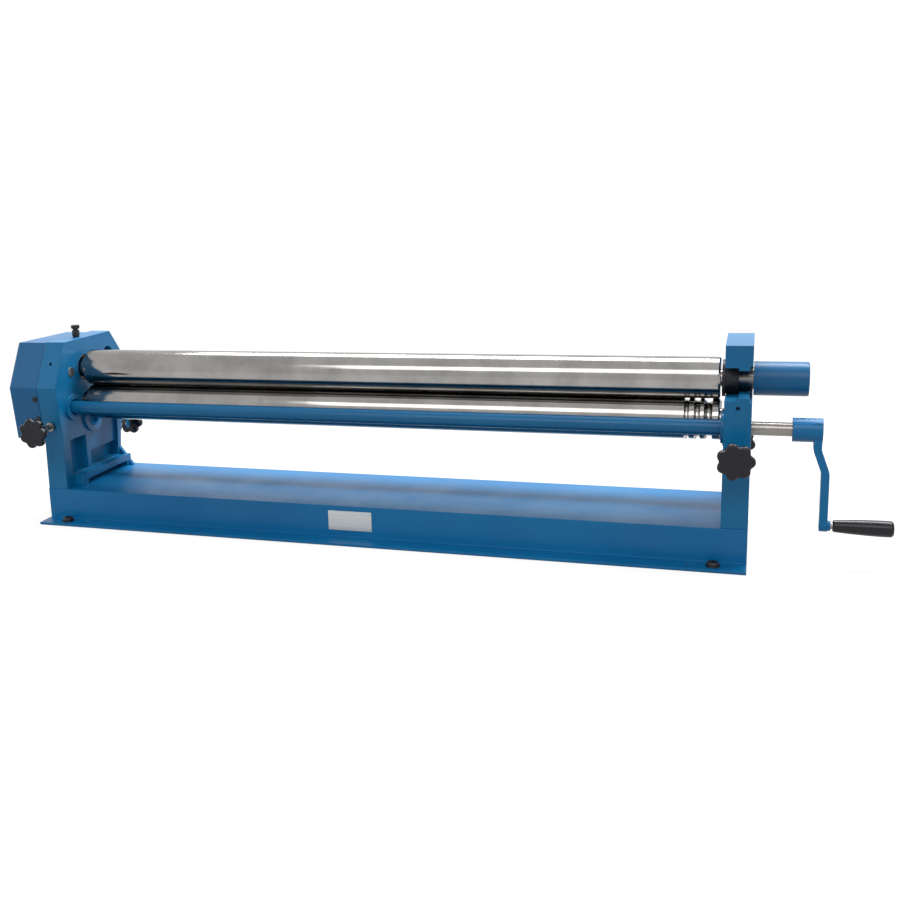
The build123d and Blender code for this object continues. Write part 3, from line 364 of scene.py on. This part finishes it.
make_roll("upper_roll", "upper_roll", ROLL_Y, UP_Z,
          [(-0.672, 0.0), (-0.672, 0.012), (-0.699, 0.012), (-0.699, 0.0217), (-0.6985, 0.0224),
           (ROLL_X0, 0.0224)], neck(0.780, 0.015) + [(ROLL_X1, 0.015)], False, 0.003)
make_roll("lower_roll", "lower_roll", ROLL_Y, LOW_Z,
          neck(-0.745, 0.016) + [(-0.7155, 0.016), (-0.7155, 0.020), (ROLL_X0, 0.020)],
          neck(JOURNAL_END, 0.020) + [(ROLL_X1, 0.020)], True, 0.002)
make_roll("rear_roll", "rear_roll", REAR_Y, REAR_Z, neck(-JOURNAL_END, 0.017) + [(ROLL_X0, 0.017)],
          neck(JOURNAL_END, 0.017) + [(ROLL_X1, 0.017)], True, 0.002)


# ------------------------------------------------------------------ star knobs and grip
LOBES, LOBE_R, LOBE_AT, KNOB_CORE, PER_LOBE = 7, 0.010, 0.022, 0.027, 18
LOBE_BLEND = 0.0009
FACE_R = 0.006  # toward the middle of the face the outline shrinks to a circle of this radius
KNOB_PROFILE = [(0.0, 0.0012), (0.30, 0.0011), (0.62, 0.0007), (0.80, 0.0003), (0.90, 0.0006),
                (0.955, 0.0018), (0.985, 0.0038), (1.0, 0.0066), (1.0, 0.0096), (0.985, 0.0124),
                (0.955, 0.0144), (0.90, 0.0156), (0.80, 0.016)]


def star_radius(a):
    """Outline of the star: round lobes blended into the round core."""
    a = (a + pi / LOBES) % (2 * pi / LOBES) - pi / LOBES
    lobe = LOBE_AT * cos(a) + sqrt(max(0.0, LOBE_R ** 2 - (LOBE_AT * sin(a)) ** 2))
    d = (lobe - KNOB_CORE) / LOBE_BLEND
    return KNOB_CORE + LOBE_BLEND * (max(d, 0.0) + log(1 + exp(-abs(d))))


def star_knob(name, body, x, z, y_face, s, bore, hub_end, phase):
    """Seven-lobed knob whose face is at y_face; s is the way along Y from face to hub."""
    bm = bmesh.new()
    n = LOBES * PER_LOBE
    rings = []
    outline = [(star_radius(2 * pi * k / n), 2 * pi * k / n + phase) for k in range(n)]
    for frac, dy in KNOB_PROFILE:
        y = y_face + s * dy
        if frac == 0.0:
            rings.append([bm.verts.new((x, y, z))])
            continue
        rings.append([])
        for r, a in outline:
            rr = FACE_R + frac * (r - FACE_R) if frac < 0.9 else frac * r
            rings[-1].append(bm.verts.new((x + rr * cos(a), y, z + rr * sin(a))))
    end = s * (hub_end - y_face)
    for r, dy in ((0.0135, 0.0162), (0.0122, 0.0175), (0.012, 0.019), (0.012, end - 0.0012),
                  (0.0112, end), (bore, end), (bore, 0.0030), (0.0, 0.0030)):
        y = y_face + s * dy
        if r == 0.0:
            rings.append([bm.verts.new((x, y, z))])
        else:
            rings.append([bm.verts.new((x + r * cos(a), y, z + r * sin(a))) for _, a in outline])
    skin(bm, rings)
    finish_mesh(bm, name + "_star", mat_plastic, body, (name,), 40)


for side, sx in (("left", -1), ("right", 1)):
    star_knob("front_knob_" + side, "front_adjust_" + side, sx * FRAME_MID, 0.204, -0.193, 1, 0.00555,
              -0.163, radians(1))
    star_knob("rear_knob_" + side, "rear_adjust_" + side, sx * FRAME_MID, 0.150, 0.203, -1, 0.00605,
              0.1733, radians(-14))

GRIP_X0, GRIP_X1, GRIP_Z = 0.845, 0.9415, 0.068
bm = bmesh.new()
lathe_x(bm, [(0.9300, 0.0), (0.9300, 0.00605), (GRIP_X0, 0.00605), (GRIP_X0, 0.0088),
             (GRIP_X0 + 0.0003, 0.0093), (GRIP_X0 + 0.0014, 0.0103), (GRIP_X0 + 0.003, 0.01055)]
        + [(GRIP_X0 + 0.003 + 0.084 * t / 10, 0.01055 + 0.00365 * sin(pi / 2 * (t / 10) ** 0.9))
           for t in range(1, 11)]
        + [(GRIP_X1 - 0.0056, 0.0141), (GRIP_X1 - 0.0034, 0.0136), (GRIP_X1 - 0.0016, 0.0124),
           (GRIP_X1 - 0.0005, 0.0107), (GRIP_X1, 0.009), (GRIP_X1, 0.0)], DRIVE_Y, GRIP_Z, 72)
finish_mesh(bm, "crank_grip_turned", mat_plastic, "grip", ("crank_grip",), 50)


# ------------------------------------------------------------------ repeated screws
class Tree:
    """A Geometry Nodes tree with named float inputs."""

    def __init__(self, name, **sizes):
        self.g = bpy.data.node_groups.new(name, "GeometryNodeTree")
        face = self.g.interface
        face.new_socket("Geometry", in_out="INPUT", socket_type="NodeSocketGeometry")
        face.new_socket("Geometry", in_out="OUTPUT", socket_type="NodeSocketGeometry")
        self.ids = {}
        for k in sizes:
            self.ids[k] = face.new_socket(k, in_out="INPUT", socket_type="NodeSocketFloat").identifier
        self.ids["Finish"] = face.new_socket("Finish", in_out="INPUT",
                                             socket_type="NodeSocketMaterial").identifier
        self.sizes = sizes
        self.i = self.g.nodes.new("NodeGroupInput").outputs
        self.o = self.g.nodes.new("NodeGroupOutput").inputs

    def node(self, kind, props=None, **links):
        n = self.g.nodes.new(kind)
        for k, v in (props or {}).items():
            setattr(n, k, v)
        for k, v in links.items():
            sock = n.inputs[int(k[1:])] if k[0] == "_" else n.inputs[k.replace("_", " ")]
            if hasattr(v, "links"):
                self.g.links.new(v, sock)
            else:
                sock.default_value = v
        return n

    def math(self, op, a, b=0.0):
        return self.node("ShaderNodeMath", {"operation": op}, _0=a, _1=b).outputs[0]

    def vec(self, x, y, z):
        return self.node("ShaderNodeCombineXYZ", _0=x, _1=y, _2=z).outputs[0]

    def move(self, geo, z):
        return self.node("GeometryNodeTransform", Geometry=geo, Translation=self.vec(0.0, 0.0, z)).outputs[0]

    def close(self, geo):
        real = self.node("GeometryNodeRealizeInstances", _0=geo).outputs[0]
        done = self.node("GeometryNodeSetMaterial", Geometry=real, Material=self.i["Finish"]).outputs[0]
        self.g.links.new(done, self.o[0])

    def bake(self, source, material, name):
        """Evaluate the tree on a mesh and keep the plain result."""
        o = bpy.data.objects.new(name, source)
        bpy.context.scene.collection.objects.link(o)
        mod = o.modifiers.new("nodes", "NODES")
        mod.node_group = self.g
        for k, v in self.sizes.items():
            mod[self.ids[k]] = v
        mod[self.ids["Finish"]] = material
        made = bpy.data.meshes.new_from_object(o.evaluated_get(bpy.context.evaluated_depsgraph_get()))
        bpy.data.objects.remove(o)
        bm = bmesh.new()
        bm.from_mesh(made)
        return bm


def socket_screw_tree(name, **sizes):
    """Domed socket-head screws on points, each turned to the point's own axis."""
    t = Tree(name, **sizes)
    head_r, head_h, dome, shank_r, shank_l, hex_r = (t.i[k] for k in (
        "Head radius", "Head height", "Dome", "Shank radius", "Shank length", "Socket"))
    body = t.node("GeometryNodeMeshCylinder", {"fill_type": "NGON"}, Vertices=32, Side_Segments=6,
                  Radius=head_r, Depth=head_h).outputs["Mesh"]
    pos = t.node("GeometryNodeInputPosition").outputs[0]
    z = t.node("ShaderNodeSeparateXYZ", _0=pos).outputs["Z"]
    up = t.math("MAXIMUM", t.math("DIVIDE", z, t.math("MULTIPLY", head_h, 0.5)), 0.0)
    shrink = t.math("SUBTRACT", 1.0, t.math("MULTIPLY", t.math("POWER", up, 2.5), dome))
    body = t.node("GeometryNodeSetPosition", Geometry=body,
                  Position=t.node("ShaderNodeVectorMath", {"operation": "MULTIPLY"}, _0=pos,
                                  _1=t.vec(shrink, shrink, 1.0)).outputs[0]).outputs[0]
    body = t.move(body, t.math("MULTIPLY", head_h, 0.5))
    shank = t.node("GeometryNodeMeshCylinder", {"fill_type": "NGON"}, Vertices=24, Radius=shank_r,
                   Depth=t.math("ADD", shank_l, t.math("MULTIPLY", head_h, 0.3))).outputs["Mesh"]
    shank = t.move(shank, t.math("SUBTRACT", t.math("MULTIPLY", head_h, 0.15),
                                 t.math("MULTIPLY", shank_l, 0.5)))
    joined = t.node("GeometryNodeMeshBoolean", {"operation": "UNION", "solver": "EXACT"})
    t.g.links.new(body, joined.inputs["Mesh 2"])
    t.g.links.new(shank, joined.inputs["Mesh 2"])
    key = t.node("GeometryNodeMeshCylinder", {"fill_type": "NGON"}, Vertices=6, Radius=hex_r,
                 Depth=head_h).outputs["Mesh"]
    key = t.move(key, t.math("MULTIPLY", head_h, 0.95))
    cut = t.node("GeometryNodeMeshBoolean", {"operation": "DIFFERENCE", "solver": "EXACT"})
    t.g.links.new(joined.outputs["Mesh"], cut.inputs["Mesh 1"])
    t.g.links.new(key, cut.inputs["Mesh 2"])
    axis = t.node("GeometryNodeInputNamedAttribute", {"data_type": "FLOAT_VECTOR"}, Name="axis").outputs[0]
    turn = t.node("FunctionNodeAlignRotationToVector", {"axis": "Z"}, Vector=axis).outputs[0]
    placed = t.node("GeometryNodeInstanceOnPoints", Points=t.i["Geometry"],
                    Instance=cut.outputs["Mesh"], Rotation=turn).outputs[0]
    t.close(placed)
    return t


def points_mesh(name, places):
    """Vertices with an axis attribute: [((x, y, z), (ax, ay, az)), ...]."""
    me = bpy.data.meshes.new(name)
    me.from_pydata([p for p, _ in places], [], [])
    attr = me.attributes.new("axis", "FLOAT_VECTOR", "POINT")
    for d, (_, a) in zip(attr.data, places):
        d.vector = a
    return me


def join_into(bm, other):
    me = bpy.data.meshes.new("joined")
    other.to_mesh(me)
    other.free()
    bm.from_mesh(me)


OUT = 0.7075
COVER_FACE, CAP_FACE = -0.7765, -OUT - 0.007
COVER_SCREWS = [(-0.072, 0.364), (0.092, 0.362), (-0.104, 0.189), (0.134, 0.250), (0.140, 0.300),
                (-0.113, 0.286)]
KEEPER_SCREWS = [(-0.061, 0.183), (-0.0414, 0.250), (0.050, 0.268), (0.090, 0.2828), (0.118, 0.215),
                 (0.025, 0.170), (0.070, 0.1324)]
SEAM_SCREW_Z, SEAM_SCREW_X, SEAM_SCREW_SINK = (0.262, 0.219), -OUT - 0.0085, 0.0006
FRONT_Y0, FRONT_Z0, FRONT_LEAN, FRONT_RISE = -0.116, 0.175, 0.012, 0.1114
CAP_BOLT_R = 0.0425
BOLT_X, BOLT_Y, BOLT_SEAT = 0.652, 0.141, 0.007
WASHER = [(0.0062, 0.0051), (0.0122, 0.0051), (0.0125, 0.0054), (0.0125, 0.0066), (0.0122, 0.0069),
          (0.0062, 0.0069)]  # (radius, z)
LEFTWARD, RIGHTWARD, FORWARD, UPWARD = (-1, 0, 0), (1, 0, 0), (0, -1, 0), (0, 0, 1)


def cover_front(z):
    """Y of the cover's front face, which leans forward with height, at height z."""
    return FRONT_Y0 - FRONT_LEAN * (z - FRONT_Z0) / FRONT_RISE


tree = socket_screw_tree("cover screws", **{"Head radius": 0.0055, "Head height": 0.0035, "Dome": 0.28,
                                            "Shank radius": 0.00295, "Shank length": 0.060,
                                            "Socket": 0.0027})
seats = [((COVER_FACE, y, z), LEFTWARD) for y, z in COVER_SCREWS]
bm = tree.bake(points_mesh("cover screw seats", seats), mat_black, "cover_screw_set")
tree.sizes.update({"Shank length": 0.012})
seats = [((SEAM_SCREW_X, cover_front(z) + SEAM_SCREW_SINK, z), FORWARD) for z in SEAM_SCREW_Z]
join_into(bm, tree.bake(points_mesh("seam screw seats", seats), mat_black, "seam_screw_set"))
finish_mesh(bm, "cover_socket_screws", mat_black, "frame", ("cover_screws",), 40)

tree = socket_screw_tree("keeper screws", **{"Head radius": 0.0044, "Head height": 0.0024, "Dome": 0.12,
                                             "Shank radius": 0.00245, "Shank length": 0.0094,
                                             "Socket": 0.0022})
seats = [((s * (OUT - 0.0025), y, z), d) for s, d in ((-1, LEFTWARD), (1, RIGHTWARD))
         for y, z in KEEPER_SCREWS]
bm = tree.bake(points_mesh("keeper screw seats", seats), mat_black, "keeper_screw_set")
tree.sizes.update({"Head radius": 0.0034, "Head height": 0.003, "Shank radius": 0.00195,
                   "Shank length": 0.013, "Socket": 0.0018})
seats = [((CAP_FACE + 0.0035, ROLL_Y + CAP_BOLT_R * cos(radians(a)),
           UP_Z + CAP_BOLT_R * sin(radians(a))), LEFTWARD) for a in (45, 135, 225, 315)]
join_into(bm, tree.bake(points_mesh("cap screw seats", seats), mat_black, "cap_screw_set"))
finish_mesh(bm, "head_socket_screws", mat_black, "frame", ("head_screws",), 40)

tree = socket_screw_tree("base bolts", **{"Head radius": 0.0105, "Head height": 0.007, "Dome": 0.42,
                                          "Shank radius": 0.00595, "Shank length": 0.0068,
                                          "Socket": 0.0042})
seats = [((sx * BOLT_X, sy * BOLT_Y, BOLT_SEAT), UPWARD) for sx in (-1, 1) for sy in (-1, 1)]
bm = tree.bake(points_mesh("base bolt seats", seats), mat_black, "base_bolt_set")
for (bolt_x, bolt_y, _), _ in seats:
    rings = [[bm.verts.new((bolt_x + r * cos(2 * pi * k / 40), bolt_y + r * sin(2 * pi * k / 40), z))
              for k in range(40)] for r, z in WASHER]
    skin(bm, rings + [rings[0]])
finish_mesh(bm, "base_domed_bolts", mat_black, "frame", ("base_bolts",), 40)

# ------------------------------------------------------------------ camera of the photograph
YAW, PITCH, ROLL = 0.34836, -0.215495, -0.042565
CAM_X, CAM_Y, CAM_Z = 0.7085, -2.1015, 0.6872
SENSOR, LENS, SHIFT = 36, 45.219, (0.1090, -0.0256)
fwd = Vector((-sin(YAW) * cos(PITCH), cos(YAW) * cos(PITCH), sin(PITCH)))
right = Vector((cos(YAW), sin(YAW), 0))
up = right.cross(fwd)
r2 = cos(ROLL) * right + sin(ROLL) * up
u2 = -sin(ROLL) * right + cos(ROLL) * up
cam = bpy.data.objects.new("camera", bpy.data.cameras.new("camera"))
bpy.context.scene.collection.objects.link(cam)
cam.matrix_world = Matrix(((r2.x, u2.x, -fwd.x, CAM_X), (r2.y, u2.y, -fwd.y, CAM_Y),
                           (r2.z, u2.z, -fwd.z, CAM_Z), (0, 0, 0, 1)))
cam.data.sensor_width = SENSOR
cam.data.lens = LENS
cam.data.shift_x, cam.data.shift_y = SHIFT
cam.data.clip_start, cam.data.clip_end = 0.05, 100
bpy.context.scene.camera = cam

# ------------------------------------------------------------------ floor, world, lamps
FLOOR_HALF, FLOOR_NEAR, FLOOR_FAR = 3.4, 1.3, 3.2
# near the object the floor is partly grey, which takes the shadow, and glows less; far out it is all glow
FLOOR_BASE, NEAR_GLOW = 0.15, 0.86
bm = bmesh.new()
bmesh.ops.create_grid(bm, x_segments=1, y_segments=1, size=FLOOR_HALF)
me = bpy.data.meshes.new("floor")
bm.to_mesh(me)
bm.free()
floor = bpy.data.objects.new("floor", me)
bpy.context.scene.collection.objects.link(floor)
fm = Mat("pale_floor", rough=0.9, Specular_IOR_Level=0.0)
away = fm.node("ShaderNodeVectorMath", operation="LENGTH")
fm.link(fm.co, away.inputs[0])
near = fm.range(away.outputs["Value"], FLOOR_NEAR, FLOOR_FAR, 1.0, 0.0)
fm.base(fm.ramp(near, (0.0, (0.0, 0.0, 0.0, 1)), (1.0, (FLOOR_BASE,) * 3 + (1,))))
floor_rays = fm.node("ShaderNodeLightPath").outputs
seen = fm.math("ADD", floor_rays["Is Camera Ray"], floor_rays["Is Glossy Ray"])
seen = fm.math("ADD", seen, floor_rays["Is Transmission Ray"])
fm.p.inputs["Emission Color"].default_value = (1, 1, 1, 1)
glow = fm.range(near, 0.0, 1.0, 1.0, NEAR_GLOW)
fm.link(fm.math("MULTIPLY", seen, glow), fm.p.inputs["Emission Strength"])
me.materials.append(fm.m)

# studio light for diffuse rays; camera, glossy and transmission rays see plain white
world = bpy.data.worlds.new("studio")
bpy.context.scene.world = world
world.use_nodes = True
wt = world.node_tree
coord = wt.nodes.new("ShaderNodeTexCoord")
split = wt.nodes.new("ShaderNodeSeparateXYZ")
wt.links.new(coord.outputs["Generated"], split.inputs[0])


def world_math(op, a, b):
    n = wt.nodes.new("ShaderNodeMath")
    n.operation = op
    for sock, v in zip(n.inputs, (a, b)):
        if isinstance(v, float):
            sock.default_value = v
        else:
            wt.links.new(v, sock)
    return n.outputs[0]


toward = world_math("MULTIPLY", split.outputs["Y"], -1.0)
turn = world_math("ARCTAN2", split.outputs["Z"], toward)
turn = world_math("ADD", world_math("MULTIPLY", turn, 0.5 / pi), 0.5)
# brightness by the angle about the X axis, in degrees up from the front
STUDIO = [(-180, 0.14), (-150, 0.08), (-90, 0.04), (-60, 0.05), (-40, 0.08), (-15, 0.12), (-11, 0.9),
          (11, 0.95), (15, 0.16), (26, 0.12), (30, 0.34), (46, 0.36), (50, 0.30), (75, 0.18),
          (96, 0.26), (99, 0.9), (136, 0.9), (140, 0.34), (160, 0.3), (180, 0.14)]
ramp = wt.nodes.new("ShaderNodeValToRGB")
stops = ramp.color_ramp.elements
stops.remove(stops[1])
stops[0].position = 0.0
stops[0].color = (STUDIO[0][1],) * 3 + (1,)
for deg, v in STUDIO[1:]:
    stop = stops.new(deg / 360 + 0.5)
    stop.color = (v * 0.98, v * 0.985, v, 1)
wt.links.new(turn, ramp.inputs[0])
sky = wt.nodes["Background"]
wt.links.new(ramp.outputs[0], sky.inputs["Color"])
sky.inputs["Strength"].default_value = 1.0
white = wt.nodes.new("ShaderNodeBackground")
white.inputs["Color"].default_value = (1, 1, 1, 1)
light_path = wt.nodes.new("ShaderNodeLightPath")
lit_or_seen = wt.nodes.new("ShaderNodeMixShader")
seen_rays = world_math("ADD", light_path.outputs["Is Camera Ray"], light_path.outputs["Is Glossy Ray"])
seen_rays = world_math("ADD", seen_rays, light_path.outputs["Is Transmission Ray"])
wt.links.new(seen_rays, lit_or_seen.inputs[0])
wt.links.new(sky.outputs[0], lit_or_seen.inputs[1])
wt.links.new(white.outputs[0], lit_or_seen.inputs[2])
wt.links.new(lit_or_seen.outputs[0], wt.nodes["World Output"].inputs[0])


def lamp(name, loc, target, size, power, color=(1, 1, 1)):
    d = bpy.data.lights.new(name, "AREA")
    d.shape = "RECTANGLE"
    d.size, d.size_y = size
    d.energy = power
    d.color = color
    o = bpy.data.objects.new(name, d)
    bpy.context.scene.collection.objects.link(o)
    o.location = loc
    o.rotation_euler = (Vector(target) - Vector(loc)).to_track_quat("-Z", "Y").to_euler()


lamp("rear_key", (0.2, 1.45, 2.9), (0, 0, 0.2), (4.6, 1.3), 240)
lamp("front_fill", (0.6, -2.7, 2.45), (0, 0, 0.2), (4.4, 1.3), 60, (1.0, 0.98, 0.95))
lamp("left_fill", (-3.4, -1.0, 1.6), (0, 0, 0.2), (1.6, 1.2), 20)
